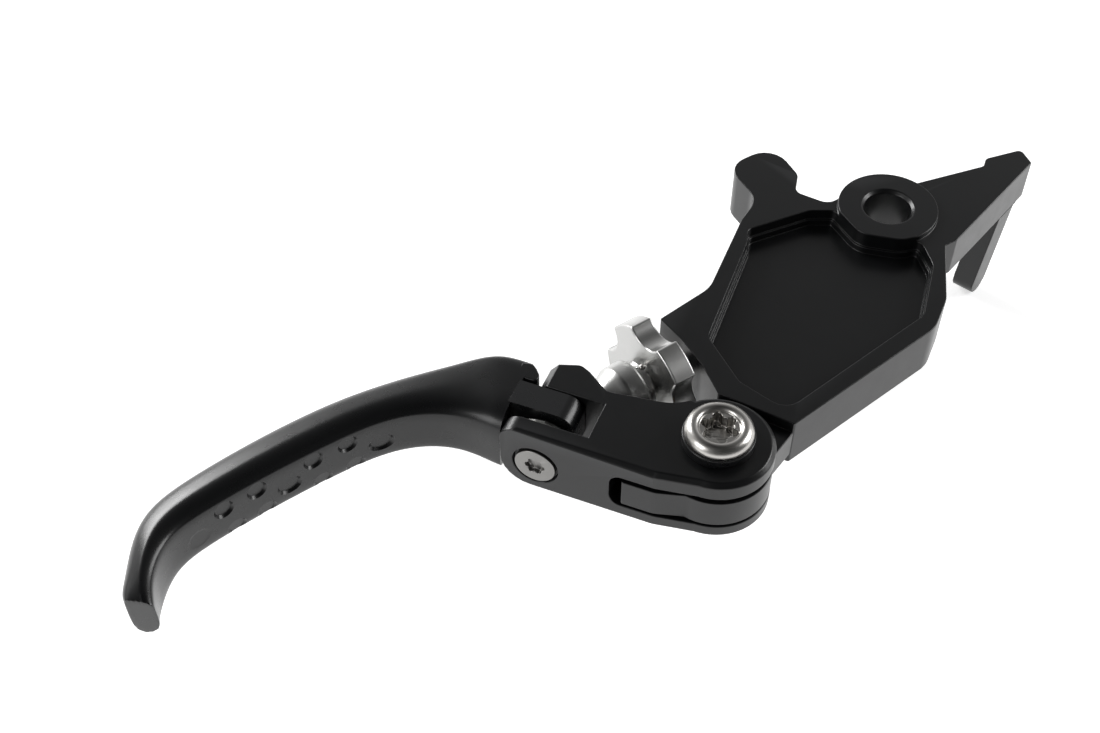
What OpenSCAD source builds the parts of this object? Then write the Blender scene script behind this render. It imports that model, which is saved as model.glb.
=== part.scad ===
// Folding clutch lever with reach adjuster, millimetres.
// Origin: centre of the pivot bore, half way through the bracket.
// +X runs from the blade tip towards the bracket, +Z is the side with the screw heads.

/* [Bracket] */
// Diameter of the pivot bore
bore_d = 10; // [8:0.5:11]
// Diameter of the raised boss round the pivot bore
boss_d = 21.5; // [20:0.5:23]
// Thickness of the boss
boss_t = 14; // [13:0.5:16]
// Thickness of the bracket's body
body_t = 11.6; // [10:0.2:12]
// Thickness of the bracket's tongue
tongue_t = 6.5; // [6:0.1:6.6]
// Depth of the relief pocket
pocket_depth = 3.9; // [2:0.1:4.5]
// Length of the switch finger below the arm
finger_drop = 22; // [10:1:24]

/* [Carrier] */
// Height of the carrier's upper face
carrier_top = 8.6; // [8.4:0.1:9]
// Height of the carrier's lower face
carrier_bottom = -6.4; // [-7:0.1:-6.2]
// Radius of the carrier's end round the main pivot
carrier_end_r = 10.95; // [10:0.05:11.2]
// Width of the slot for the blade's tongue
fold_slot_w = 8.8; // [8.6:0.1:9]

/* [Pivot screw] */
// Diameter of the pivot screw's head
head_d = 13.2; // [12:0.1:13.4]
// Diameter of the pivot screw's shoulder
shoulder_d = 8; // [7.6:0.1:8]
// Running clearance on the radius of every turning fit
run = 0.04; // [0.02:0.01:0.08]
// Clearance on the radius of every fixed fit
snug = 0.02; // [0.01:0.01:0.03]

/* [Fold hinge] */
// Diameter of the fold screw's head
fold_head_d = 8.3; // [8:0.1:9.6]
// Diameter of the fold screw's shoulder
fold_pin_d = 5; // [4:0.1:5]
// Wire diameter of the return spring
spring_wire = 0.9; // [0.6:0.1:0.9]

/* [Blade] */
// Height of the blade's upper face
blade_top = 7.5; // [7:0.1:7.6]
// Height of the blade's lower face
blade_bottom = -5.6; // [-6:0.1:-5]
// Diameter of the grip dimples
dimple_d = 4.2; // [3:0.1:4.6]
// Depth of the grip dimples
dimple_depth = 0.5; // [0.3:0.1:0.8]

/* [Adjuster] */
// Outer radius of the star knob
knob_r = 12.8; // [12:0.1:13]
// Number of lobes on the star knob
knob_lobes = 5; // [5:1:6]
// Thickness of the star knob
knob_t = 4.9; // [4:0.1:5]
// Radius of the adjuster barrel
barrel_r = 6.4; // [6:0.1:6.6]
// Diameter of the thrust pin
thrust_pin_d = 6; // [5:0.1:6]

/* [Hidden] */
$fn = 72;

// Underside of the arm, and the direction of its front edge
arm_bottom = -body_t / 2 + 1.9;
arm_angle = 15.7;
// Main pivot, and the direction of the carrier seen from it
pivot = [-72.15, -31.5];
carrier_angle = 123.4;
// Heights of the horizontal slot that takes the bracket's tongue
slot_top = 4.5;
slot_bottom = -3.8;
slot_end = 16.9;
slot_corner_r = 2.5;
// End of the tongue's tail, which swings inside the slot as the reach is set
tail_end = 14.6;
// Fold hinge, in the carrier's own directions: along, then across
fold_u = 32;
front_v = -12.3;
fold_slot_v = -8.5;
fold_slot_u = 22.7;
carrier_u = 39.3;
ear_u = 36.3;
shoulder_u = carrier_u + 0.35;
fold_tongue_far = 0;
fold_tongue_near = -5.8;
fold_tongue_u = 26.6;
root_top = 8.45;
// Adjuster, along X at this place across
adjuster_y = -6.5;
ear_face_x = -82;
knob_x = -70.3;
barrel_front_x = knob_x - 1;
relief_x = -60.5;
pin_gap = 0.3;
hub_r = 3.9;
hub_l = 3;
detent_r = 5.3;
// Small parts
bush_r = 5.5;
sleeve_r = 5;
thread_r = 3;
fold_bush_r = 3.5;
fold_thread_r = 2;
spring_r = 6.9;
stem_r = 2.5;
torx_points = 6;

black = "#2e3131";
silver = "#c9cbc8";
bronze = "#a9823f";

// Unit vector from p to q
function toward(p, q) = (q - p) / norm(q - p);

// Turn from angle a to angle b by the short way round
function short_turn(a, b) = b - a > 180 ? b - a - 360 : b - a < -180 ? b - a + 360 : b - a;

// Points of the arc that rounds the corner p between its neighbours
function corner(before, p, after, r, steps) =
  let (a = toward(p, before), b = toward(p, after), half = acos(a * b) / 2)
  let (centre = p + (a + b) / norm(a + b) * r / sin(half))
  let (first = p + a * r / tan(half) - centre, last = p + b * r / tan(half) - centre)
  let (start = atan2(first.y, first.x), turn = short_turn(start, atan2(last.y, last.x)))
  [for (i = [0:steps]) centre + r * [cos(start + turn * i / steps), sin(start + turn * i / steps)]];

// Outline through [x, y, radius] corners, each rounded to its own radius
function rounded(pts, steps = 6) = [
  for (i = [0:len(pts) - 1])
    let (n = len(pts), p = pts[i], q = [p.x, p.y], b = pts[(i + n - 1) % n], a = pts[(i + 1) % n])
    each p.z > 0 ? corner([b.x, b.y], q, [a.x, a.y], p.z, steps) : [q]
];

// Solid between two heights
module slab(low, high) {
  translate([0, 0, low]) linear_extrude(high - low) children();
}

// Flat ring between two heights
module ring(outer_r, inner_r, low, high) {
  translate([0, 0, low]) difference() {
    cylinder(r = outer_r, h = high - low);
    translate([0, 0, -1]) cylinder(r = inner_r, h = high - low + 2);
  }
}

// Carrier's own directions: X along it, -Y towards the front wall
module at_carrier() {
  translate(pivot) rotate(carrier_angle) mirror([0, 1, 0]) children();
}

// Place in the part's frame of a point given along and across the carrier
function carrier_point(p) = [
  pivot.x + p.x * cos(carrier_angle) + p.y * sin(carrier_angle),
  pivot.y + p.x * sin(carrier_angle) - p.y * cos(carrier_angle)
];

// Local Z along the fold pin, from the front wall inwards; local X along the carrier
module at_fold(v) {
  at_carrier() translate([fold_u, v, 0]) rotate([-90, 0, 0]) children();
}

// Local Z along the adjuster's axis, towards +X
module at_adjuster(x) {
  translate([x, adjuster_y, 0]) rotate([0, 90, 0]) children();
}

// Round wire along a path that never runs straight up local Z
module wire(path, r, sides = 8) {
  last = len(path) - 1;
  points = [for (i = [0:last])
    let (ahead = toward(path[max(i - 1, 0)], path[min(i + 1, last)]))
    let (side = toward([0, 0, 0], cross(ahead, [0, 0, 1])), up = cross(side, ahead))
    for (k = [0:sides - 1]) path[i] + r * (cos(k * 360 / sides) * side + sin(k * 360 / sides) * up)];
  walls = [for (i = [0:last - 1], k = [0:sides - 1])
    let (a = i * sides, b = a + sides, next = (k + 1) % sides)
    [a + k, a + next, b + next, b + k]];
  start_cap = [for (k = [sides - 1:-1:0]) k];
  end_cap = [for (k = [0:sides - 1]) last * sides + k];
  polyhedron(points, concat(walls, [start_cap, end_cap]));
}

// Six-lobed driver recess, cut downwards from its top at z = 0
module torx_cut(r, depth) {
  translate([0, 0, -depth]) {
    cylinder(r = r * 0.78, h = depth + 1);
    for (i = [0:torx_points - 1]) {
      rotate(i * 360 / torx_points) translate([r * 0.72, 0, 0]) cylinder(r = r * 0.28, h = depth + 1);
    }
  }
}

// ---- Bracket ----

module bracket_outline() {
  polygon(rounded([
    [-60.4, 1.8, 0.4], [-46.5, 3.2, 8], [-28, 15.6, 6], [-21, 18.8, 6], [-19.5, 31.3, 5.2],
    [-6.3, 31, 5.2], [-8.2, 20, 3], [-12.4, 16, 2], [-9, 9, 3], [0, 9, 0],
    [10, 0, 0], [8, -9.5, 6], [-8.5, -27, 8], [-16, -31.6, 8], [-56, -35, 0.6],
    [-63.2, -20.6, 0.6], [-61.2, -13, 12], [-60.3, -5, 12]
  ]));
}

module arm_outline() {
  polygon(rounded([
    [0, 6, 0], [28, -1.2, 1.5], [30.2, 0.4, 1.5], [39, -1.9, 1.2],
    [37.6, -6.5, 0.4], [5.8, -15.4, 1.5], [-6, -15, 0]
  ]));
}

module pocket_outline(inset) {
  offset(delta = -inset) polygon(rounded([
    [-31.5, 9.3, 0.8], [-28.8, 12.4, 2], [-14, 9.6, 4], [-9.5, 6.5, 1.5], [-10.8, -3, 5],
    [-4.8, -9.6, 6], [-0.6, -10.8, 1.6], [-3.6, -18, 5], [-15.5, -27.6, 3],
    [-55, -31.3, 4], [-57.8, -20.5, 4], [-55.4, -7.6, 3]
  ], 4));
}

// Tongue between the carrier's plates, with the tail that limits the reach
module tongue() {
  tail = [
    [2, -carrier_end_r + 0.4, 0], [8, front_v + 0.1, 6], [tail_end, front_v + 0.1, 0.4],
    [tail_end, -3, 3], [6, -1, 3], [0, 6, 0]
  ];
  slab(-tongue_t / 2, tongue_t / 2)
    polygon(rounded([for (p = tail) concat(carrier_point(p), p.z)]));
  translate(pivot) cylinder(r = carrier_end_r - 0.05, h = tongue_t, center = true);
  slab(-tongue_t / 2, tongue_t / 2) polygon([[-70, -22.5], [-62.6, -20.2], [-56, -35], [-64.4, -37.9]]);
}

// Finger that works the switch, leaning towards the bore as it goes down
module finger() {
  lean = 5;
  wide = 6.4;
  thick = 5;
  start = [28.4, -8.9];
  hull() {
    translate([start.x, start.y, arm_bottom + 0.3]) rotate(arm_angle) cube([wide, thick, 1]);
    translate([start.x - lean, start.y - lean / 4, arm_bottom - finger_drop + wide / 2])
      rotate(arm_angle) translate([wide / 2, thick, 0]) rotate([90, 0, 0])
      cylinder(d = wide, h = thick, $fn = 32);
  }
}

module bracket() {
  color(black) difference() {
    union() {
      slab(-body_t / 2, body_t / 2) bracket_outline();
      slab(arm_bottom, body_t / 2) arm_outline();
      cylinder(d = boss_d, h = boss_t, center = true);
      tongue();
      finger();
    }
    cylinder(d = bore_d, h = boss_t + 2, center = true);
    for (side = [0, 1]) mirror([0, 0, side]) {
      translate([0, 0, boss_t / 2 - 0.7]) cylinder(d1 = bore_d, d2 = bore_d + 2, h = 1);
    }
    slab(body_t / 2 - pocket_depth * 0.6, boss_t) pocket_outline(0);
    slab(body_t / 2 - pocket_depth, boss_t) pocket_outline(0.5);
    translate(pivot) cylinder(r = bush_r + snug, h = tongue_t + 2, center = true);
  }
}

module pivot_bush() {
  color(bronze) translate(pivot)
    ring(bush_r, shoulder_d / 2 + run, -tongue_t / 2 + 0.05, tongue_t / 2 - 0.05);
}

// ---- Carrier ----

module carrier_outline() {
  circle(r = carrier_end_r);
  polygon(rounded([
    [0, -carrier_end_r, 0], [8, front_v, 6], [carrier_u, front_v, 0], [carrier_u, 6, 0],
    [35.4, 6.3, 2], [30.6, 8, 2], [28.4, 7, 0.8], [23.6, 3.6, 1.5], [10.6, 5.4, 8],
    [5.6, 9.4, 0], [0, 8, 0]
  ]));
}

// Side profile: square above so that the blade stops on it, round below so that it can fold
module carrier_profile() {
  translate([0, 20, 0]) rotate([90, 0, 0]) linear_extrude(40) polygon(rounded([
    [-20, carrier_bottom, 0], [carrier_u, carrier_bottom, 6.2],
    [carrier_u, carrier_top, 3.2], [-20, carrier_top, 0]
  ]));
}

// Space beyond the far ear, which ends short so that the blade's horn can lie over it
module ear_end() {
  translate([0, 20, 0]) rotate([90, 0, 0]) linear_extrude(20) polygon([
    [ear_u - 3.4, carrier_bottom - 1], [ear_u - 3.4, carrier_bottom], [ear_u, carrier_bottom + 3.4],
    [ear_u, carrier_top - 2], [ear_u - 1.6, carrier_top], [ear_u - 1.6, carrier_top + 1],
    [carrier_u + 2, carrier_top + 1], [carrier_u + 2, carrier_bottom - 1]
  ]);
}

module tongue_slot() {
  translate([0, 20, 0]) rotate([90, 0, 0]) linear_extrude(40) polygon(rounded([
    [-20, slot_bottom, 0], [slot_end, slot_bottom, slot_corner_r],
    [slot_end, slot_top, slot_corner_r], [-20, slot_top, 0]
  ]));
}

module carrier() {
  color(black) difference() {
    at_carrier() difference() {
      intersection() {
        slab(carrier_bottom, carrier_top) carrier_outline();
        carrier_profile();
      }
      tongue_slot();
      ear_end();
      translate([fold_slot_u, fold_slot_v, carrier_bottom - 1])
        cube([30, fold_slot_w, carrier_top - carrier_bottom + 2]);
    }
    translate([pivot.x, pivot.y, carrier_bottom - 1])
      cylinder(r = sleeve_r + snug, h = carrier_top - carrier_bottom + 2);
    at_fold(front_v - 1) cylinder(d = fold_pin_d + 2 * snug, h = 1 - front_v + 0.3);
    at_fold(front_v - 1) cylinder(d = fold_head_d + 1.1, h = 2.2);
    at_fold(0) cylinder(r = fold_thread_r + snug, h = 4.5);
    at_adjuster(ear_face_x - 3.1) cylinder(r = stem_r + snug, h = 4);
    at_adjuster(ear_face_x) cylinder(r = 5, h = 3);
  }
}

module pivot_screw() {
  color(silver) translate(pivot) difference() {
    union() {
      translate([0, 0, slot_bottom]) cylinder(d = shoulder_d, h = 14.5);
      translate([0, 0, carrier_bottom - 0.6]) cylinder(r = thread_r, h = 6);
      translate([0, 0, 10.6]) cylinder(d = head_d, h = 1);
      translate([0, 0, 11.6]) cylinder(d1 = head_d - 1, d2 = head_d - 4.6, h = 1.6);
    }
    translate([0, 0, 13.2]) torx_cut(3.5, 2.4);
  }
}

module pivot_collar() {
  color(black) translate(pivot) {
    ring(head_d / 2 + 0.3, shoulder_d / 2 + run, carrier_top, 10.6);
    ring(sleeve_r, shoulder_d / 2 + run, slot_top, carrier_top + 0.1);
  }
}

module pivot_nut() {
  color(silver) translate(pivot) {
    ring(sleeve_r, thread_r + snug, carrier_bottom - 0.1, slot_bottom - 0.05);
    ring(6.4, thread_r + snug, carrier_bottom - 1, carrier_bottom);
  }
}

module upper_thrust_washer() {
  color(bronze) translate(pivot)
    ring(8.4, shoulder_d / 2 + run, tongue_t / 2 + 0.02, tongue_t / 2 + 0.5);
}

module pivot_wave_washer() {
  color(silver) translate(pivot)
    ring(7.8, shoulder_d / 2 + run, tongue_t / 2 + 0.52, slot_top - 0.03);
}

module lower_thrust_washer() {
  color(bronze) translate(pivot)
    ring(8.4, shoulder_d / 2 + run, slot_bottom + 0.03, -tongue_t / 2 - 0.02);
}

// ---- Blade and fold hinge ----

module blade_outline() {
  near = [shoulder_u, -11.5];
  far = [shoulder_u, 6.2];
  polygon(rounded([
    concat(carrier_point(near), 0.6), concat(carrier_point(far), 0.6), [-93.2, 12.6, 4],
    [-108, 20, 30], [-130, 23.4, 60], [-163.5, 20.4, 9], [-177.9, 3.6, 2], [-176.8, -3.4, 2.2],
    [-172, -0.6, 2], [-166, 9.2, 10], [-140, 10.8, 20], [-118, 10.8, 22]
  ], 8));
}

module fold_tongue() {
  at_carrier() translate([0, fold_tongue_far, 0]) rotate([90, 0, 0])
    linear_extrude(fold_tongue_far - fold_tongue_near) polygon(rounded([
      [fold_tongue_u, blade_bottom + 1, 4], [shoulder_u + 3, blade_bottom + 1, 0],
      [shoulder_u + 3, root_top, 0], [fold_tongue_u, root_top, 3.4]
    ]));
}

// Horn on the root, flush with the carrier, that lies over the far ear
module horn() {
  outline = [
    [40.4, -2, 0], [43, -2, 1], [43.6, 2.4, 1.5], [39.9, 5, 1.6], [37, 2.5, 1], [37, 0.7, 0.4],
    [39.9, 0.7, 0]
  ];
  slab(3.5, root_top - 0.05) polygon(rounded([for (p = outline) concat(carrier_point(p), p.z)]));
}

// Where the finger face lies across the blade: level, then falling away towards the tip
function finger_face_y(x) = 10.8 - 0.0615 * max(0, -140 - x);

// Dimples in the finger face: single ones between pairs
module dimples() {
  single_z = 0.6;
  pair_z = 3.3;
  for (x = [-160.5, -142, -123]) dimple(x, single_z);
  for (x = [-154.8, -148, -136, -129], side = [-1, 1]) dimple(x, single_z + side * pair_z);
}

module dimple(x, z) {
  translate([x, finger_face_y(x) - 6, z]) rotate([-90, 0, 0])
    cylinder(d = dimple_d, h = 6 + dimple_depth);
}

module blade() {
  color(black) difference() {
    union() {
      slab(blade_bottom, blade_top) blade_outline();
      fold_tongue();
      horn();
    }
    at_fold(fold_tongue_near - 1) cylinder(r = fold_bush_r + snug, h = 8);
    dimples();
  }
}

module fold_bush() {
  color(bronze) at_fold(fold_tongue_near + 0.05)
    ring(fold_bush_r, fold_pin_d / 2 + run, 0, fold_tongue_far - fold_tongue_near - 0.1);
}

module fold_screw() {
  color(silver) difference() {
    union() {
      at_fold(front_v - 0.2) cylinder(d = fold_head_d, h = 1.4);
      at_fold(front_v) cylinder(d = fold_pin_d, h = 0.25 - front_v);
      at_fold(0) cylinder(r = fold_thread_r, h = 4.1);
    }
    at_fold(front_v - 0.2) mirror([0, 0, 1]) torx_cut(2, 1);
  }
}

module fold_washer() {
  color(silver) at_fold(fold_tongue_near - 0.6) ring(5.4, fold_pin_d / 2 + run, 0, 0.5);
}

// Leg that bears on the carrier, then a coil and a half round the hinge
module fold_spring() {
  turns = 1.5;
  pitch = spring_wire + 0.03;
  leg = [for (x = [-8.6:2.15:-2]) [x, -spring_r, spring_wire / 2]];
  coil = [for (a = [0:15:turns * 360])
    [spring_r * sin(a), -spring_r * cos(a), spring_wire / 2 + pitch * a / 360]];
  color(silver) at_fold(fold_slot_v + 0.1) wire(concat(leg, coil), spring_wire / 2);
}

// ---- Reach adjuster ----

module star_outline() {
  scallop_r = 4.9;
  phase = 49.5;
  difference() {
    circle(r = knob_r);
    for (i = [0:knob_lobes - 1]) {
      rotate(phase + (i + 0.5) * 360 / knob_lobes) translate([knob_r + 2.1, 0]) circle(r = scallop_r);
    }
  }
}

module star_knob() {
  color(silver) difference() {
    union() {
      at_adjuster(knob_x) rotate(90) linear_extrude(knob_t) star_outline();
      at_adjuster(knob_x - hub_l - 1) cylinder(r = hub_r, h = hub_l + 2);
    }
    at_adjuster(knob_x - 10) cylinder(d = thrust_pin_d + 2 * run, h = 20);
    at_adjuster(knob_x - 2.6) clip_groove();
  }
}

// Groove that the retaining ring sits in, half in the knob's hub and half in the barrel
module clip_groove() {
  rotate_extrude() translate([hub_r + run / 2, 0]) circle(r = 0.42);
}

module adjuster_barrel() {
  color(silver) difference() {
    union() {
      at_adjuster(ear_face_x - 3) cylinder(r = stem_r, h = 4);
      at_adjuster(ear_face_x) cylinder(r = 4.4, h = 2);
      at_adjuster(ear_face_x + 2) cylinder(r1 = 4.4, r2 = barrel_r, h = 3.2);
      at_adjuster(ear_face_x + 5.2) cylinder(r = barrel_r, h = barrel_front_x - ear_face_x - 5.2);
    }
    at_adjuster(ear_face_x + 2) cylinder(d = thrust_pin_d + 2 * run, h = 20);
    at_adjuster(barrel_front_x - hub_l - 0.1) cylinder(r = hub_r + run, h = 10);
    at_adjuster(knob_x - 2.6) clip_groove();
    at_adjuster(barrel_front_x - 4) translate([-detent_r, 0, 0]) cylinder(r = 0.75, h = 5);
  }
}

module thrust_pin() {
  r = thrust_pin_d / 2;
  tip_x = relief_x - pin_gap;
  color(silver) {
    at_adjuster(tip_x - r - 13) cylinder(r = r, h = 13);
    intersection() {
      at_adjuster(tip_x - r) sphere(r = r);
      at_adjuster(tip_x - r - 0.1) cylinder(r = r + 1, h = r + 1);
    }
  }
}

module knob_clip() {
  color("#8a8c8a") at_adjuster(knob_x - 2.6)
    rotate_extrude() translate([hub_r + run / 2, 0]) circle(r = 0.36);
}

module detent_ball() {
  color(silver) at_adjuster(barrel_front_x) translate([-detent_r, 0, 0.15]) sphere(r = 0.7);
}

module detent_spring() {
  coil_wire = 0.3;
  coil_r = 0.52;
  pitch = 0.5;
  coil = [for (a = [0:30:5.5 * 360]) [coil_r * cos(a), coil_r * sin(a), pitch * a / 360]];
  color(silver) at_adjuster(barrel_front_x - 3.8) translate([-detent_r, 0, coil_wire / 2])
    wire(coil, coil_wire / 2, 6);
}

bracket();
pivot_bush();
carrier();
pivot_screw();
pivot_collar();
pivot_nut();
upper_thrust_washer();
lower_thrust_washer();
blade();
fold_bush();
fold_screw();
fold_washer();
fold_spring();
star_knob();
adjuster_barrel();
thrust_pin();
knob_clip();
detent_ball();
detent_spring();
pivot_wave_washer();
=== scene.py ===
"""Looks of a folding clutch lever with a reach adjuster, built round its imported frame."""

import logging
import math
from dataclasses import dataclass, field
from enum import Enum
from typing import Dict, List, Sequence, Tuple

import bmesh
import bpy
from mathutils import Matrix, Vector
from mathutils.bvhtree import BVHTree

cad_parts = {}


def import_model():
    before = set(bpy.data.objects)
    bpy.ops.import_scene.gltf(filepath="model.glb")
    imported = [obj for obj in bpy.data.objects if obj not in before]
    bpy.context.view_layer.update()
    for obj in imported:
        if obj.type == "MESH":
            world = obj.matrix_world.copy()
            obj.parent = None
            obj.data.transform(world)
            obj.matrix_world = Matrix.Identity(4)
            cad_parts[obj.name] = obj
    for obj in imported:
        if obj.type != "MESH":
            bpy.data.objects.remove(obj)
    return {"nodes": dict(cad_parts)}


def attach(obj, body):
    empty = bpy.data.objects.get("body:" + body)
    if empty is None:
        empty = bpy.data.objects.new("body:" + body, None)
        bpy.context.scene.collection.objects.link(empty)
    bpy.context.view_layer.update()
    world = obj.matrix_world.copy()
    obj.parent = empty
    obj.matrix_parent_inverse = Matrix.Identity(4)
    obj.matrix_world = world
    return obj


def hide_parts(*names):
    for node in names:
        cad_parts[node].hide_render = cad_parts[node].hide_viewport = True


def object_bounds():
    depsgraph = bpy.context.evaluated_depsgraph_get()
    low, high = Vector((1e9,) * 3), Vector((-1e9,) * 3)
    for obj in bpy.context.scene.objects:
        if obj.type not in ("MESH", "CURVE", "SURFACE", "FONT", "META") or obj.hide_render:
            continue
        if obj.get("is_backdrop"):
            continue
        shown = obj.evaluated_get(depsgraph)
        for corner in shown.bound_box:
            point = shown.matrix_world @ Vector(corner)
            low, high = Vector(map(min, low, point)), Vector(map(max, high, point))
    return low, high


LOG = logging.getLogger("clutch_lever")
MM = 0.001
WELD = 0.00002
FLAT_DEGREES = 0.4
SHARP_DEGREES = 32.0
ROUND_DEGREES = 38.0
EDGE_STEPS = 3
GRAIN_DETAIL = 6.0
CLOUD_DETAIL = 3.0
CLOUD_SCALE = 0.035
CLOUD_SHADE = 0.78
WEAR_FROM = 0.53
WEAR_TO = 0.62
BUMP_DISTANCE = 0.02
Point = Tuple[float, float]
Colour = Tuple[float, float, float, float]
# The carrier's pivot in millimetres, and the ways along and across the carrier from it.
CARRIER_PIVOT: Point = (-72.15, -31.5)
CARRIER_ALONG: Point = (-0.5505, 0.8348)
CARRIER_ACROSS: Point = (0.8348, 0.5505)


class Tooling(Enum):
    """How a metal surface was left by the shop."""

    BLASTED = "blasted"
    TURNED = "turned"
    DRAWN = "drawn"


@dataclass(frozen=True)
class MetalFinish:
    """One metal finish, with its grain and the wear on its edges."""

    name: str
    colour: Colour
    metallic: float
    roughness: float
    roughness_spread: float
    tooling: Tooling
    grain_scale: float
    bump: float
    worn_colour: Colour
    wear: float = 0.0
    specular: float = 0.5

    def build(self) -> bpy.types.Material:
        """Makes the node material.

        Returns:
            The new material.
        """
        mat = bpy.data.materials.new(self.name)
        mat.use_nodes = True
        tree = mat.node_tree
        shader = tree.nodes["Principled BSDF"]
        shader.inputs["Metallic"].default_value = self.metallic
        shader.inputs["Specular IOR Level"].default_value = self.specular
        place = tree.nodes.new("ShaderNodeTexCoord")
        mapping = tree.nodes.new("ShaderNodeMapping")
        mapping.inputs["Scale"].default_value = self._stretch()
        tree.links.new(place.outputs["Object"], mapping.inputs["Vector"])
        grain = self._noise(tree, mapping, self.grain_scale, GRAIN_DETAIL)
        cloud = self._noise(tree, mapping, self.grain_scale * CLOUD_SCALE, CLOUD_DETAIL)
        self._tint(tree, shader, cloud)
        spread = tree.nodes.new("ShaderNodeMapRange")
        spread.inputs["To Min"].default_value = self.roughness - self.roughness_spread
        spread.inputs["To Max"].default_value = self.roughness + self.roughness_spread
        tree.links.new(cloud.outputs["Fac"], spread.inputs["Value"])
        tree.links.new(spread.outputs["Result"], shader.inputs["Roughness"])
        bump = tree.nodes.new("ShaderNodeBump")
        bump.inputs["Strength"].default_value = self.bump
        bump.inputs["Distance"].default_value = BUMP_DISTANCE * MM
        tree.links.new(grain.outputs["Fac"], bump.inputs["Height"])
        tree.links.new(bump.outputs["Normal"], shader.inputs["Normal"])
        return mat

    def _stretch(self) -> Tuple[float, float, float]:
        """Gives the grain's stretch along each axis for the tooling.

        Returns:
            The scale along X, Y and Z.
        """
        if self.tooling is Tooling.TURNED:
            return (1.0, 0.25, 0.25)
        if self.tooling is Tooling.DRAWN:
            return (0.3, 1.0, 1.0)
        return (1.0, 1.0, 1.0)

    @staticmethod
    def _noise(
        tree: bpy.types.NodeTree, mapping: bpy.types.Node, scale: float, detail: float
    ) -> bpy.types.Node:
        """Adds one noise texture on the mapped place.

        Args:
            tree: The material's node tree.
            mapping: The node that gives the place.
            scale: Features per metre.
            detail: Octaves of finer noise.

        Returns:
            The noise node.
        """
        noise = tree.nodes.new("ShaderNodeTexNoise")
        noise.inputs["Scale"].default_value = scale
        noise.inputs["Detail"].default_value = detail
        tree.links.new(mapping.outputs["Vector"], noise.inputs["Vector"])
        return noise

    def _tint(
        self, tree: bpy.types.NodeTree, shader: bpy.types.Node, cloud: bpy.types.Node
    ) -> None:
        """Varies the colour, and lightens the edges where the finish has rubbed.

        Args:
            tree: The material's node tree.
            shader: The surface shader.
            cloud: The slow noise.
        """
        shade = tree.nodes.new("ShaderNodeMix")
        shade.data_type = "RGBA"
        shade.inputs["A"].default_value = self.colour
        darker = tuple(c * CLOUD_SHADE for c in self.colour[:3])
        shade.inputs["B"].default_value = darker + (1.0,)
        tree.links.new(cloud.outputs["Fac"], shade.inputs["Factor"])
        edge = tree.nodes.new("ShaderNodeNewGeometry")
        ramp = tree.nodes.new("ShaderNodeMapRange")
        ramp.inputs["From Min"].default_value = WEAR_FROM
        ramp.inputs["From Max"].default_value = WEAR_TO
        ramp.inputs["To Max"].default_value = self.wear
        tree.links.new(edge.outputs["Pointiness"], ramp.inputs["Value"])
        rubbed = tree.nodes.new("ShaderNodeMix")
        rubbed.data_type = "RGBA"
        rubbed.inputs["B"].default_value = self.worn_colour
        tree.links.new(ramp.outputs["Result"], rubbed.inputs["Factor"])
        tree.links.new(shade.outputs["Result"], rubbed.inputs["A"])
        tree.links.new(rubbed.outputs["Result"], shader.inputs["Base Color"])


BLACK_ANODISED = MetalFinish(
    "black_anodised", (0.0052, 0.0055, 0.0060, 1), 0.0, 0.30, 0.05,
    Tooling.BLASTED, 9000, 0.05, (0.045, 0.046, 0.048, 1), 0.30, 0.5,
)
GLOSS_BLACK = MetalFinish(
    "gloss_black", (0.0056, 0.0059, 0.0064, 1), 0.0, 0.28, 0.04,
    Tooling.BLASTED, 9000, 0.05, (0.045, 0.046, 0.048, 1), 0.25, 0.5,
)
POLISHED_ALUMINIUM = MetalFinish(
    "polished_aluminium", (0.62, 0.62, 0.61, 1), 1.0, 0.30, 0.05,
    Tooling.TURNED, 5200, 0.25, (0.8, 0.8, 0.8, 1), 0.2,
)
STAINLESS = MetalFinish(
    "stainless", (0.56, 0.545, 0.52, 1), 1.0, 0.30, 0.06,
    Tooling.TURNED, 6000, 0.25, (0.75, 0.74, 0.72, 1), 0.2,
)
SCREW_STEEL = MetalFinish(
    "screw_steel", (0.30, 0.295, 0.285, 1), 1.0, 0.36, 0.06,
    Tooling.TURNED, 6000, 0.25, (0.5, 0.49, 0.48, 1), 0.2,
)
SPRING_STEEL = MetalFinish(
    "spring_steel", (0.60, 0.60, 0.58, 1), 1.0, 0.24, 0.05,
    Tooling.DRAWN, 7000, 0.2, (0.75, 0.75, 0.74, 1), 0.2,
)
BRONZE = MetalFinish(
    "bronze", (0.40, 0.26, 0.11, 1), 1.0, 0.38, 0.07,
    Tooling.TURNED, 6000, 0.3, (0.6, 0.42, 0.2, 1), 0.3,
)


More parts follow.
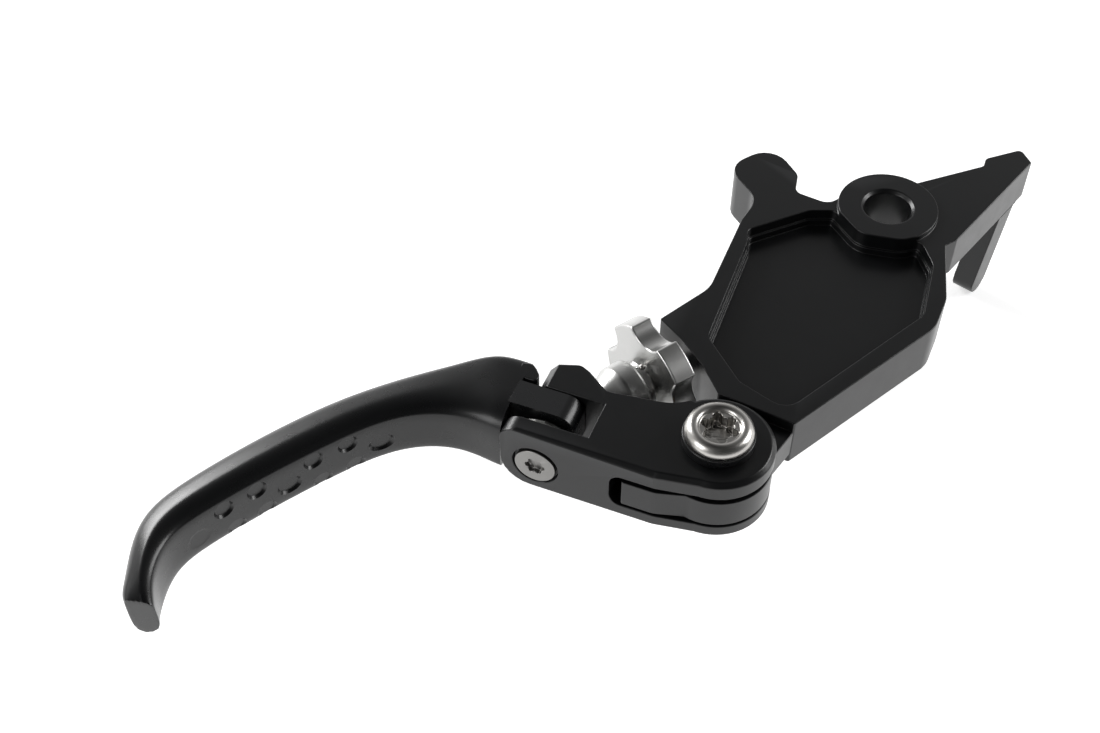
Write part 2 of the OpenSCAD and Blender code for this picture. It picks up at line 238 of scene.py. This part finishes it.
@dataclass
class Workshop:
    """Makes pieces from the frame's nodes and from new meshes, and keeps the finishes."""

    nodes: Dict[str, bpy.types.Object]
    finishes: Dict[str, bpy.types.Material] = field(default_factory=dict)

    def finish(self, kind: MetalFinish) -> bpy.types.Material:
        """Gives the material of a finish, made once.

        Args:
            kind: The finish.

        Returns:
            Its material.
        """
        if kind.name not in self.finishes:
            self.finishes[kind.name] = kind.build()
        return self.finishes[kind.name]

    def dress_node(self, node: str, kind: MetalFinish) -> None:
        """Gives a frame node its finish, its mesh left as it is.

        Args:
            node: The node's name.
            kind: The finish.
        """
        obj = self.nodes[node]
        obj.data.materials.clear()
        obj.data.materials.append(self.finish(kind))
        LOG.info("dressed %s in %s", node, kind.name)

    def merged_copy(self, node: str, weld: float = WELD) -> bmesh.types.BMesh:
        """Copies a node's mesh, welded and with its flat faces joined.

        Args:
            node: The node's name.
            weld: Points closer than this many metres become one.

        Returns:
            The copy, as a bmesh.
        """
        bm = bmesh.new()
        bm.from_mesh(self.nodes[node].data)
        bmesh.ops.remove_doubles(bm, verts=bm.verts, dist=weld)
        bmesh.ops.dissolve_limit(
            bm, angle_limit=math.radians(FLAT_DEGREES), verts=bm.verts, edges=bm.edges,
            use_dissolve_boundaries=False, delimit={"NORMAL"},
        )
        return bm

    @staticmethod
    def applied(obj: bpy.types.Object) -> bpy.types.Mesh:
        """Gives an object's mesh with its modifiers applied.

        Args:
            obj: The object.

        Returns:
            A new mesh.
        """
        graph = bpy.context.evaluated_depsgraph_get()
        graph.update()
        return bpy.data.meshes.new_from_object(obj.evaluated_get(graph))

    def loose(self, bm: bmesh.types.BMesh, name: str) -> bpy.types.Object:
        """Links a bmesh as a working object that isn't a piece.

        Args:
            bm: The shape, which is freed.
            name: The working object's name.

        Returns:
            The working object.
        """
        mesh = bpy.data.meshes.new(name)
        bm.to_mesh(mesh)
        bm.free()
        obj = bpy.data.objects.new(name, mesh)
        bpy.context.scene.collection.objects.link(obj)
        return obj

    @staticmethod
    def _edge_break(
        obj: bpy.types.Object, width: float, degrees: float
    ) -> bpy.types.Modifier:
        """Adds a modifier that breaks an object's sharp edges.

        Args:
            obj: The object.
            width: Width of the edge break, in millimetres.
            degrees: Edges sharper than this are broken.

        Returns:
            The modifier.
        """
        mod = obj.modifiers.new("edge_break", "BEVEL")
        mod.width = width * MM
        mod.segments = EDGE_STEPS
        mod.limit_method = "ANGLE"
        mod.angle_limit = math.radians(degrees)
        return mod

    def rounded(self, bm: bmesh.types.BMesh, width: float) -> bpy.types.Mesh:
        """Rounds the sharp edges of a shape.

        Args:
            bm: The shape, which is freed.
            width: Width of the rounding, in millimetres.

        Returns:
            A new mesh.
        """
        obj = self.loose(bm, "work")
        self._edge_break(obj, width, ROUND_DEGREES)
        mesh = self.applied(obj)
        bpy.data.objects.remove(obj)
        return mesh

    def carved(self, bm: bmesh.types.BMesh, cutter: bmesh.types.BMesh) -> bmesh.types.BMesh:
        """Cuts one closed shape out of another.

        Args:
            bm: The shape that is cut, which is freed.
            cutter: What is taken away, which is freed.

        Returns:
            The cut shape.
        """
        work, tool = self.loose(bm, "work"), self.loose(cutter, "tool")
        cut = work.modifiers.new("cut", "BOOLEAN")
        cut.operation = "DIFFERENCE"
        cut.solver = "EXACT"
        cut.use_self = True
        cut.object = tool
        out = bmesh.new()
        out.from_mesh(self.applied(work))
        bpy.data.objects.remove(work)
        bpy.data.objects.remove(tool)
        return out

    @staticmethod
    def lathed(
        profile: Sequence[Point], centre: Point, steps: int = 96, lying: bool = False
    ) -> bmesh.types.BMesh:
        """Turns a profile round an upright line, or round one that lies along X.

        Args:
            profile: Radius and place along of each point, in millimetres, from axis to axis.
            centre: Where the line crosses the two other axes, in millimetres.
            steps: Steps round.
            lying: Whether the line lies along X.

        Returns:
            The closed turned shape.
        """
        bm = bmesh.new()
        line = []
        for radius, along in profile:
            upright = (centre[0] + radius, centre[1], along)
            place = (along, centre[0] + radius, centre[1]) if lying else upright
            line.append(bm.verts.new(Vector(place) * MM))
        edges = [bm.edges.new(pair) for pair in zip(line, line[1:])]
        middle = Vector((0, *centre) if lying else (*centre, 0)) * MM
        axis = (1, 0, 0) if lying else (0, 0, 1)
        bmesh.ops.spin(
            bm, geom=line + edges, cent=middle, axis=axis,
            dvec=(0, 0, 0), angle=math.tau, steps=steps, use_merge=True, use_duplicate=False,
        )
        bmesh.ops.remove_doubles(bm, verts=bm.verts, dist=WELD / 2)
        bmesh.ops.recalc_face_normals(bm, faces=bm.faces)
        return bm

    def piece(
        self, bm: bmesh.types.BMesh, name: str, body: str, kind: MetalFinish, slot: str,
        replaces: Sequence[str] = (), bevel: float = 0.0, bevel_angle: float = 25.0,
    ) -> bpy.types.Object:
        """Turns a bmesh into a finished piece that rides on a body.

        Args:
            bm: The shape, in metres, in the row frame.
            name: The piece's name.
            body: The body it rides on.
            kind: Its finish.
            slot: The record's material slot; not used.
            replaces: The nodes it stands for.
            bevel: Width of the edge break in millimetres, or 0.
            bevel_angle: Edges sharper than this many degrees are broken.

        Returns:
            The piece.
        """
        for face in bm.faces:
            face.smooth = True
        for edge in bm.edges:
            edge.smooth = edge.calc_face_angle(0.0) < math.radians(SHARP_DEGREES)
        mesh = bpy.data.meshes.new(name)
        bm.to_mesh(mesh)
        bm.free()
        obj = bpy.data.objects.new(name, mesh)
        bpy.context.scene.collection.objects.link(obj)
        mesh.materials.append(self.finish(kind))
        if bevel:
            mod = self._edge_break(obj, bevel, bevel_angle)
            mod.harden_normals = True
            mod.use_clamp_overlap = False
        weighted = obj.modifiers.new("flat_faces", "WEIGHTED_NORMAL")
        weighted.keep_sharp = True
        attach(obj, body)
        if replaces:
            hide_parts(*replaces)
        LOG.info("built %s on %s: %d faces", name, body, len(mesh.polygons))
        return obj


@dataclass
class Bracket:
    """The bracket that turns on the pivot, with its bush."""

    shop: Workshop
    edge: float = 0.2
    weld: float = 0.05 * MM

    def build(self) -> None:
        """Builds the bracket with broken edges."""
        self.shop.piece(
            self.shop.merged_copy("bracket", self.weld), "bracket_machined", "bracket",
            BLACK_ANODISED, "black_anodised", ["bracket"], self.edge,
        )

    def dress(self) -> None:
        """Gives the bush its finish."""
        self.shop.dress_node("pivot_bush", BRONZE)


@dataclass
class Carrier:
    """The forked carrier with its main pivot."""

    shop: Workshop
    edge: float = 0.24
    weld: float = 0.05 * MM
    top: float = 8.6
    top_slack: float = 0.05
    end_r: float = 10.95
    end_band: float = 0.4
    front_from: float = 10.5
    front_chamfer: float = 0.9
    screw_profile: Tuple[Point, ...] = (
        (0, -7.0), (3.0, -7.0), (3.0, -3.8), (4.0, -3.8), (4.0, 10.6), (6.35, 10.6),
        (6.58, 10.85), (6.6, 11.35), (6.45, 11.95), (6.05, 12.55), (5.5, 12.95),
        (5.0, 13.12), (4.6, 13.08), (4.2, 12.9), (3.95, 12.6), (3.85, 12.3), (0, 12.3),
    )
    recess_r: float = 2.75
    lobe_r: float = 0.85
    lobe_at: float = 2.85
    recess_top: float = 14.0
    recess_floor: float = 9.6
    recess_steps: int = 32
    lobes: int = 6

    def _screw(self) -> bmesh.types.BMesh:
        """Turns the main screw and cuts its six-lobed recess.

        Returns:
            The screw.
        """
        cutter = bmesh.new()
        sites = [(0.0, 0.0, self.recess_r)] + [
            (
                self.lobe_at * math.cos(math.tau * i / self.lobes),
                self.lobe_at * math.sin(math.tau * i / self.lobes), self.lobe_r,
            )
            for i in range(self.lobes)
        ]
        depth = self.recess_top - self.recess_floor
        for x, y, r in sites:
            place = Vector((
                CARRIER_PIVOT[0] + x, CARRIER_PIVOT[1] + y, self.recess_top - depth / 2,
            )) * MM
            bmesh.ops.create_cone(
                cutter, cap_ends=True, segments=self.recess_steps,
                radius1=r * MM, radius2=r * MM,
                depth=depth * MM, matrix=Matrix.Translation(place),
            )
        return self.shop.carved(self.shop.lathed(self.screw_profile, CARRIER_PIVOT), cutter)

    def _front_chamfered(self, bm: bmesh.types.BMesh) -> bmesh.types.BMesh:
        """Chamfers the top plate's edge along the front wall and round the pivot.

        Args:
            bm: The carrier.

        Returns:
            The same shape, chamfered.
        """
        across = Vector(CARRIER_ACROSS)
        rim = self.end_r + self.top_slack
        front = []
        for edge in bm.edges:
            middle = (edge.verts[0].co + edge.verts[1].co) / 2 / MM
            flat = middle.xy - Vector(CARRIER_PIVOT)
            on_top = min(v.co.z for v in edge.verts) / MM > self.top - self.top_slack
            on_wall = flat.dot(across) < -self.front_from
            on_end = flat.length < rim < flat.length + self.end_band
            if on_top and (on_wall or on_end):
                front.append(edge)
        bmesh.ops.bevel(
            bm, geom=front, offset=self.front_chamfer * MM, offset_type="OFFSET", segments=1,
            profile=0.5, affect="EDGES", material=-1, clamp_overlap=False,
        )
        LOG.info("front edge of the carrier: %d edges chamfered", len(front))
        return bm

    def build(self) -> None:
        """Builds the carrier and the main screw with broken edges."""
        self.shop.piece(
            self._front_chamfered(self.shop.merged_copy("carrier", self.weld)),
            "carrier_machined", "carrier",
            BLACK_ANODISED, "black_anodised", ["carrier"], self.edge,
        )
        self.shop.piece(
            self._screw(), "pivot_screw_turned", "carrier", STAINLESS, "stainless",
            ["pivot_screw"], 0.15, 40.0,
        )
        self.shop.piece(
            self.shop.merged_copy("pivot_collar"), "pivot_collar_turned", "carrier",
            GLOSS_BLACK, "black_collar", ["pivot_collar"], 0.2,
        )

    def dress(self) -> None:
        """Gives the small pieces of the main pivot their finishes."""
        self.shop.dress_node("pivot_nut", STAINLESS)
        self.shop.dress_node("upper_thrust_washer", BRONZE)
        self.shop.dress_node("lower_thrust_washer", BRONZE)
        self.shop.dress_node("pivot_wave_washer", SPRING_STEEL)


@dataclass(frozen=True)
class Station:
    """One cross-section of the blade, in millimetres.

    It has its finger edge, its far edge and its heights, and how far it turns from the
    grip's section into the square one and the one at the tip.
    """

    near: Point
    far: Point
    low: float = -5.4
    high: float = 7.3
    square: float = 0.0
    tip: float = 0.0


@dataclass(frozen=True)
class Dimple:
    """One grip dimple, in millimetres: its place, its depth and how much longer than round."""

    x: float
    z: float
    depth: float = 0.55
    long: float = 1.0


# Sections across the blade from the finger face round over the ridge to the far side, as
# (share of the width, share of the height): along the grip, at the square root, at the tip.
GRIP_SECTION: Tuple[Point, ...] = (
    (0.05, 0.04), (0.0, 0.16), (0.0, 0.40), (0.0, 0.66), (0.0, 0.84), (0.03, 0.905),
    (0.11, 0.95), (0.22, 0.985), (0.35, 1.005), (0.45, 0.985), (0.60, 0.94), (0.76, 0.885),
    (0.87, 0.79), (1.0, 0.58), (1.0, 0.30), (0.95, 0.12), (0.78, 0.02), (0.40, 0.0),
)
BLOCK_SECTION: Tuple[Point, ...] = (
    (0.02, 0.01), (0.0, 0.06), (0.0, 0.36), (0.0, 0.62), (0.015, 0.76), (0.07, 0.88),
    (0.19, 0.965), (0.36, 1.0), (0.52, 1.0), (0.66, 1.0), (0.80, 1.0), (0.90, 0.995),
    (0.97, 0.95), (1.0, 0.80), (1.0, 0.40), (1.0, 0.06), (0.97, 0.01), (0.40, 0.0),
)
TIP_SECTION: Tuple[Point, ...] = (
    (0.34, 0.07), (0.12, 0.18), (0.0, 0.36), (0.0, 0.62), (0.0, 0.84), (0.03, 0.905),
    (0.11, 0.95), (0.22, 0.985), (0.35, 1.0), (0.52, 1.0), (0.70, 1.0), (0.85, 1.0),
    (0.95, 0.99), (1.0, 0.92), (1.0, 0.50), (0.98, 0.22), (0.88, 0.06), (0.60, 0.0),
)
# The horn from above, in millimetres along and across the carrier from its pivot.
HORN_OUTLINE: Tuple[Point, ...] = (
    (41.6, 0.9), (37.5, 0.9), (37.1, 1.3), (37.0, 2.1), (37.4, 3.0), (38.4, 4.1),
    (39.2, 4.7), (39.9, 4.9), (41.6, 4.4),
)


@dataclass
class FingerBlade:
    """The folding finger blade with its hinge."""

    shop: Workshop
    stations: Tuple[Station, ...] = (
        Station((-173.8, -3.1), (-177.8, 0.6), -4.8, 5.4, tip=1.0),
        Station((-173.2, -1.5), (-177.7, 3.0), -5.2, 6.0, tip=0.55),
        Station((-171.8, 1.8), (-175.6, 7.1), -5.4, 6.6),
        Station((-168.9, 5.3), (-172.2, 12.5), -5.5, 7.1),
        Station((-165.3, 7.9), (-168.2, 17.0)),
        Station((-160.6, 9.2), (-162.3, 19.9)),
        Station((-152.0, 10.0), (-151.3, 21.4)),
        Station((-143.0, 10.5), (-142.4, 22.1)),
        Station((-133.5, 10.6), (-133.7, 22.4)),
        Station((-124.5, 10.4), (-125.0, 22.1)),
        Station((-117.6, 9.1), (-116.5, 21.0)),
        Station((-112.2, 6.6), (-108.5, 19.0), -5.5, 7.35, 0.15),
        Station((-108.0, 3.2), (-101.0, 16.0), -5.6, 7.5, 0.45),
        Station((-105.4, -0.9), (-95.6, 13.2), -5.6, 8.0, 0.85),
        Station((-104.3, -3.2), (-92.0, 10.2), -5.6, 8.42, 1.0),
        Station((-103.5, -4.6), (-88.9, 5.1), -5.6, 8.42, 1.0),
    )
    dimples: Tuple[Dimple, ...] = (
        Dimple(-154.4, 3.5), Dimple(-147.4, 3.6), Dimple(-135.4, 3.6), Dimple(-128.1, 3.6),
        Dimple(-152.7, -3.1), Dimple(-146.2, -3.1), Dimple(-134.1, -3.1), Dimple(-127.1, -3.1),
        Dimple(-160.3, 0.0, depth=0.12), Dimple(-140.9, 0.2, long=1.25),
        Dimple(-121.4, 0.2, long=1.25),
    )
    dimple_r: float = 2.1
    dimple_flare: float = 0.45
    dimple_steps: int = 40
    ray_from: float = -40.0
    smooth_levels: int = 3
    tip_crease: float = 0.6
    tip_slack: float = 0.1
    tongue_edge: float = 0.35
    tongue_past: float = 0.8
    tongue_near: float = 5.8
    horn_low: float = 3.5
    horn_high: float = 8.4
    carrier_length: float = 39.3
    shoulder_slack: float = 0.6

    def build(self) -> None:
        """Builds the blade and the hinge screw."""
        bm = self._dimpled(self._grip())
        for part in (self._tongue(), self._horn()):
            mesh = self.shop.rounded(part, self.tongue_edge)
            bm.from_mesh(mesh)
            bpy.data.meshes.remove(mesh)
        self.shop.piece(bm, "blade_milled", "blade", GLOSS_BLACK, "black_anodised", ["blade"])
        self.shop.piece(
            self.shop.merged_copy("fold_screw"), "fold_screw_turned", "carrier",
            SCREW_STEEL, "stainless", ["fold_screw"], 0.2,
        )

    def _grip(self) -> bmesh.types.BMesh:
        """Lofts the grip through its stations.

        Returns:
            The closed, smoothed grip.
        """
        bm = bmesh.new()
        before = bmesh.ops.create_circle(
            bm, cap_ends=False, segments=len(GRIP_SECTION), radius=MM
        )["verts"]
        self._place(before, self.stations[0])
        loop = list(bm.edges)
        bmesh.ops.contextual_create(bm, geom=loop)
        for station in self.stations[1:]:
            made = bmesh.ops.extrude_edge_only(bm, edges=loop)["geom"]
            ring = [v for v in made if isinstance(v, bmesh.types.BMVert)]
            ring.sort(key=lambda v: self._order(v, before))
            loop = [e for e in made if isinstance(e, bmesh.types.BMEdge)]
            self._place(ring, station)
            before = ring
        bmesh.ops.contextual_create(bm, geom=loop)
        bmesh.ops.recalc_face_normals(bm, faces=bm.faces)
        return self._smoothed(bm)

    @staticmethod
    def _order(vert: bmesh.types.BMVert, before: Sequence[bmesh.types.BMVert]) -> int:
        """Gives a new vertex the number of the one that it was extruded from.

        Args:
            vert: The new vertex, still on the old ring.
            before: The old ring in order.

        Returns:
            Its number round the section.
        """
        return min(range(len(before)), key=lambda i: (before[i].co - vert.co).length)

    def _place(self, ring: Sequence[bmesh.types.BMVert], station: Station) -> None:
        """Moves a ring of vertices onto the section at a station.

        Args:
            ring: The vertices, in order round the section.
            station: Where they go.
        """
        near, far = Vector(station.near), Vector(station.far)
        for vert, grip, block, end in zip(ring, GRIP_SECTION, BLOCK_SECTION, TIP_SECTION):
            shape = Vector(grip).lerp(Vector(block), station.square)
            across, height = shape.lerp(Vector(end), station.tip)
            flat = near.lerp(far, across)
            vert.co = Vector((
                flat.x, flat.y, station.low + (station.high - station.low) * height,
            )) * MM

    def _smoothed(self, bm: bmesh.types.BMesh) -> bmesh.types.BMesh:
        """Rounds the loft with a subdivision surface.

        The edges of the root face stay sharp, and those of the end face partly so.

        Args:
            bm: The coarse loft.

        Returns:
            The fine mesh.
        """
        crease = bm.edges.layers.float.new("crease_edge")
        for edge in bm.edges:
            if all(self._at_shoulder(v.co) for v in edge.verts):
                edge[crease] = 1.0
            elif all(self._at_tip(v.co) for v in edge.verts):
                edge[crease] = self.tip_crease
        obj = self.shop.loose(bm, "blade_loft")
        mod = obj.modifiers.new("smooth", "SUBSURF")
        mod.levels = mod.render_levels = self.smooth_levels
        fine = self.shop.applied(obj)
        out = bmesh.new()
        out.from_mesh(fine)
        bpy.data.objects.remove(obj)
        return out

    def _at_shoulder(self, place: Vector) -> bool:
        """Tells whether a point lies on the face that meets the carrier.

        Args:
            place: The point, in metres.

        Returns:
            Whether it does.
        """
        flat = place.xy / MM - Vector(CARRIER_PIVOT)
        return flat.dot(Vector(CARRIER_ALONG)) < self.carrier_length + self.shoulder_slack

    def _at_tip(self, place: Vector) -> bool:
        """Tells whether a point lies on the blade's end face.

        Args:
            place: The point, in metres.

        Returns:
            Whether it does.
        """
        near, far = Vector(self.stations[0].near), Vector(self.stations[0].far)
        side = (far - near).normalized()
        return abs((place.xy / MM - near).cross(side)) < self.tip_slack

    def _tongue(self) -> bmesh.types.BMesh:
        """Cuts the bored tongue that sits in the carrier's slot from a copy of the blade.

        Returns:
            The closed tongue.
        """
        tongue = self.shop.merged_copy("blade")
        along, across = Vector(CARRIER_ALONG), Vector(CARRIER_ACROSS)
        for way, limit in (
            (along, self.carrier_length + self.tongue_past),
            (across, 0.0),
            (-across, self.tongue_near),
        ):
            place = Vector(CARRIER_PIVOT) + way * limit
            bmesh.ops.bisect_plane(
                tongue, geom=tongue.verts[:] + tongue.edges[:] + tongue.faces[:], dist=WELD,
                plane_co=place.to_3d() * MM, plane_no=way.to_3d(), clear_outer=True,
            )
            rim = [e for e in tongue.edges if e.is_boundary]
            bmesh.ops.holes_fill(tongue, edges=rim, sides=0)
        return tongue

    def _horn(self) -> bmesh.types.BMesh:
        """Extrudes the horn that lies over the carrier's far ear.

        Returns:
            The closed horn.
        """
        horn = bmesh.new()
        ring = bmesh.ops.create_circle(
            horn, cap_ends=True, segments=len(HORN_OUTLINE), radius=MM
        )["verts"]
        along, across = Vector(CARRIER_ALONG), Vector(CARRIER_ACROSS)
        for vert, (u, v) in zip(ring, HORN_OUTLINE):
            flat = Vector(CARRIER_PIVOT) + along * u + across * v
            vert.co = Vector((flat.x, flat.y, self.horn_low)) * MM
        made = bmesh.ops.extrude_face_region(horn, geom=horn.faces[:])["geom"]
        top = [v for v in made if isinstance(v, bmesh.types.BMVert)]
        bmesh.ops.translate(horn, verts=top, vec=(0, 0, (self.horn_high - self.horn_low) * MM))
        bmesh.ops.recalc_face_normals(horn, faces=horn.faces)
        return horn

    def _dimpled(self, bm: bmesh.types.BMesh) -> bmesh.types.BMesh:
        """Sinks the dimples into the finger face, each square to the surface there.

        Args:
            bm: The grip.

        Returns:
            The grip with its dimples.
        """
        surface = BVHTree.FromBMesh(bm)
        cutter = bmesh.new()
        for dimple in self.dimples:
            start = Vector((dimple.x, self.ray_from, dimple.z)) * MM
            place, normal, _, _ = surface.ray_cast(start, Vector((0, 1, 0)))
            inward = (-normal).normalized()
            reach = dimple.depth * 2
            turn = inward.to_track_quat("Z", "Y").to_matrix().to_4x4()
            middle = Matrix.Translation(place + inward * (dimple.depth - reach / 2) * MM)
            stretch = Matrix.Diagonal((dimple.long, 1.0, 1.0, 1.0))
            made = bmesh.ops.create_cone(
                cutter, cap_ends=True, segments=self.dimple_steps,
                radius1=(self.dimple_r + self.dimple_flare) * MM,
                radius2=(self.dimple_r - self.dimple_flare) * MM,
                depth=reach * MM, matrix=middle @ turn @ stretch,
            )["verts"]
            LOG.info("dimple at %.1f: %d points", dimple.x, len(made))
        return self.shop.carved(bm, cutter)

    def dress(self) -> None:
        """Gives the hinge's hidden pieces their finishes."""
        self.shop.dress_node("fold_bush", BRONZE)
        self.shop.dress_node("fold_washer", STAINLESS)
        self.shop.dress_node("fold_spring", SPRING_STEEL)


@dataclass
class ReachAdjuster:
    """The star knob, its barrel and the pin that it drives."""

    shop: Workshop
    edge: float = 0.4
    axis: Point = (-6.5, 0.0)
    barrel_profile: Tuple[Point, ...] = (
        (0, -85.0), (2.5, -85.0), (2.5, -82.0), (4.2, -82.0), (4.4, -81.6), (4.5, -80.6),
        (4.85, -79.8), (5.4, -78.8), (5.9, -77.9), (6.25, -77.2), (6.42, -76.7), (6.45, -76.4),
        (6.45, -73.5), (6.35, -73.1), (6.1, -72.8), (5.4, -72.6), (5.4, -71.9), (5.5, -71.35),
        (3.94, -71.35), (3.94, -74.3), (3.04, -74.3), (3.04, -80.0), (0, -80.0),
    )

    def build(self) -> None:
        """Builds the knob with broken edges, and the barrel."""
        self.shop.piece(
            self.shop.merged_copy("star_knob"), "star_knob_turned", "knob",
            POLISHED_ALUMINIUM, "polished_aluminium", ["star_knob"], self.edge,
        )
        self.shop.piece(
            self.shop.lathed(self.barrel_profile, self.axis, lying=True),
            "adjuster_barrel_turned", "carrier", POLISHED_ALUMINIUM, "polished_aluminium",
            ["adjuster_barrel"],
        )

    def dress(self) -> None:
        """Gives the pin and the click stop their finishes."""
        self.shop.dress_node("thrust_pin", STAINLESS)
        self.shop.dress_node("knob_clip", SPRING_STEEL)
        self.shop.dress_node("detent_ball", STAINLESS)
        self.shop.dress_node("detent_spring", SPRING_STEEL)


@dataclass
class Studio:
    """Pale floor, soft lights and the camera."""

    camera_mm: Tuple[float, float, float] = (-197.4, -161.3, 226.1)
    looking: Tuple[float, float, float] = (0.3747, 0.5556, -0.7423)
    roll: float = -0.29
    lens: float = 49.26
    sensor: float = 36.0
    floor_gap: float = 0.4
    floor_size: float = 6.0
    horizon: float = 0.85
    falloff: float = 1.0
    near_side: float = 0.12
    near_from: float = -0.65
    near_to: float = 0.10
    backdrop: float = 1.0
    floor_glow: float = 0.62
    floor_colour: Colour = (0.9, 0.9, 0.9, 1)
    floor_roughness: float = 0.9
    lights_aim: Tuple[float, float, float] = (-0.07, 0, 0)
    nearest: float = 0.01

    def build(self, lowest: float) -> None:
        """Builds the whole studio.

        Args:
            lowest: Height of the object's lowest point, in metres.
        """
        self._floor(lowest)
        self._world()
        self._lights()
        self._camera()

    def _floor(self, lowest: float) -> None:
        """Lays the floor just under the object.

        Args:
            lowest: Height of the object's lowest point, in metres.
        """
        bm = bmesh.new()
        bmesh.ops.create_grid(bm, x_segments=1, y_segments=1, size=self.floor_size / 2)
        bmesh.ops.translate(bm, vec=(0, 0, lowest - self.floor_gap * MM), verts=bm.verts)
        mesh = bpy.data.meshes.new("floor")
        bm.to_mesh(mesh)
        bm.free()
        obj = bpy.data.objects.new("floor", mesh)
        bpy.context.scene.collection.objects.link(obj)
        mat = bpy.data.materials.new("pale_floor")
        mat.use_nodes = True
        shader = mat.node_tree.nodes["Principled BSDF"]
        shader.inputs["Base Color"].default_value = self.floor_colour
        shader.inputs["Roughness"].default_value = self.floor_roughness
        shader.inputs["Emission Color"].default_value = (1, 1, 1, 1)
        shader.inputs["Emission Strength"].default_value = self.floor_glow
        mesh.materials.append(mat)
        obj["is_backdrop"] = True

    def _world(self) -> None:
        """Makes a room, bright low down at the back and dark overhead and in front."""
        world = bpy.data.worlds.new("room")
        bpy.context.scene.world = world
        world.use_nodes = True
        tree = world.node_tree
        way = tree.nodes.new("ShaderNodeTexCoord")
        parts = tree.nodes.new("ShaderNodeSeparateXYZ")
        tree.links.new(way.outputs["Generated"], parts.inputs["Vector"])
        fall = tree.nodes.new("ShaderNodeMapRange")
        fall.inputs["To Min"].default_value = self.horizon
        fall.inputs["To Max"].default_value = 0.0
        tree.links.new(parts.outputs["Z"], fall.inputs["Value"])
        shape = tree.nodes.new("ShaderNodeMath")
        shape.operation = "POWER"
        shape.inputs[1].default_value = self.falloff
        tree.links.new(fall.outputs["Result"], shape.inputs[0])
        side = tree.nodes.new("ShaderNodeMapRange")
        side.inputs["From Min"].default_value = self.near_from
        side.inputs["From Max"].default_value = self.near_to
        side.inputs["To Min"].default_value = self.near_side
        tree.links.new(parts.outputs["Y"], side.inputs["Value"])
        room = tree.nodes.new("ShaderNodeMath")
        room.operation = "MULTIPLY"
        tree.links.new(shape.outputs["Value"], room.inputs[0])
        tree.links.new(side.outputs["Result"], room.inputs[1])
        seen = tree.nodes.new("ShaderNodeLightPath")
        level = tree.nodes.new("ShaderNodeMapRange")
        level.inputs["To Max"].default_value = self.backdrop
        tree.links.new(room.outputs["Value"], level.inputs["To Min"])
        tree.links.new(seen.outputs["Is Camera Ray"], level.inputs["Value"])
        background = tree.nodes["Background"]
        background.inputs["Color"].default_value = (1, 1, 1, 1)
        tree.links.new(level.outputs["Result"], background.inputs["Strength"])
        bpy.context.scene.view_settings.view_transform = "Standard"

    def _lights(self) -> None:
        """Hangs the soft boxes."""
        for name, place, size, power in (
            ("back_box", (-0.25, 1.05, 0.45), 0.5, 9.0),
            ("left_box", (-0.95, 0.10, 0.45), 0.5, 3.0),
            ("right_box", (0.75, -0.35, 0.45), 0.5, 5.0),
        ):
            light = bpy.data.lights.new(name, "AREA")
            light.shape = "SQUARE"
            light.size = size
            light.energy = power
            obj = bpy.data.objects.new(name, light)
            obj.location = place
            aim = Vector(self.lights_aim) - Vector(place)
            obj.rotation_euler = aim.to_track_quat("-Z", "Y").to_euler()
            bpy.context.scene.collection.objects.link(obj)

    def _camera(self) -> None:
        """Sets the camera."""
        data = bpy.data.cameras.new("camera")
        data.lens = self.lens
        data.sensor_width = self.sensor
        data.clip_start = self.nearest
        obj = bpy.data.objects.new("camera", data)
        ahead = Vector(self.looking).normalized()
        right = ahead.cross(Vector((0, 0, 1))).normalized()
        up = right.cross(ahead)
        turn = Matrix((right, up, -ahead)).transposed()
        roll = Matrix.Rotation(math.radians(self.roll), 3, "Z")
        place = Matrix.Translation(Vector(self.camera_mm) * MM)
        obj.matrix_world = place @ (turn @ roll).to_4x4()
        bpy.context.scene.collection.objects.link(obj)
        bpy.context.scene.camera = obj


def main() -> None:
    """Builds the lever round its frame."""
    logging.basicConfig(level=logging.INFO)
    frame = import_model()
    cad_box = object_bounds()
    shop = Workshop(frame["nodes"])
    for assembly in (Bracket(shop), Carrier(shop), FingerBlade(shop), ReachAdjuster(shop)):
        assembly.build()
        assembly.dress()
    Studio().build(cad_box[0].z)


if __name__ == "__main__":
    main()
